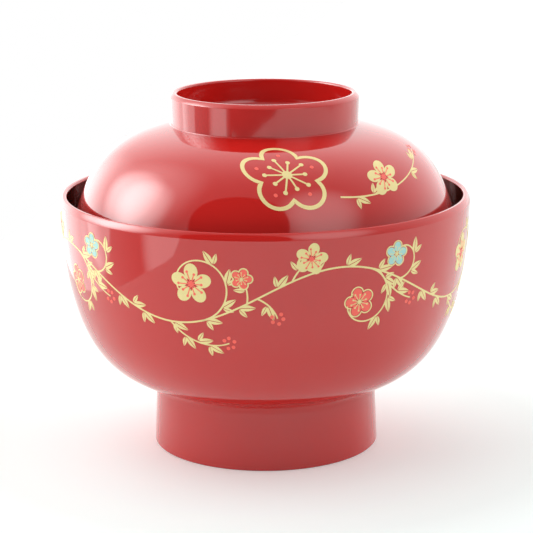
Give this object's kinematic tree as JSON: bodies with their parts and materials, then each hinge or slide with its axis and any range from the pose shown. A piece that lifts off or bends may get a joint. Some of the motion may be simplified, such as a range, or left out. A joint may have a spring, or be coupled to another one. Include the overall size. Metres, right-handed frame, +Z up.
{
  "type": "lidded soup bowl",
  "caption": "Deep lacquered soup bowl on a tall foot ring, with a domed lid that seats inside the rim and lifts off by its ring-shaped knob; red outside and dark inside.",
  "frame": {"origin": "centre of the foot ring, on the surface that the bowl stands on", "axes": "+Z up along the axis of bowl and lid; -Y is the front that the picture shows, +X to its right"},
  "size_m": [0.1279, 0.1278, 0.1113],
  "materials": {
    "red_lacquer": "polished red lacquer over a moulded body",
    "black_lacquer": "polished black-brown lacquer lining",
    "gold_print": "printed gold powder under a clear coat",
    "coral_print": "printed coral colour under a clear coat",
    "pale_blue_print": "printed pale blue-green under a clear coat"
  },
  "bodies": {
    "bowl": {"bowl": "red_lacquer"},
    "lid": {"lid": "red_lacquer"}
  },
  "joints": [
    {"name": "lid_lift", "type": "slide", "parent": "bowl", "child": "lid", "axis": [0, 0, 1], "range_m": [0, 0.1]}
  ]
}
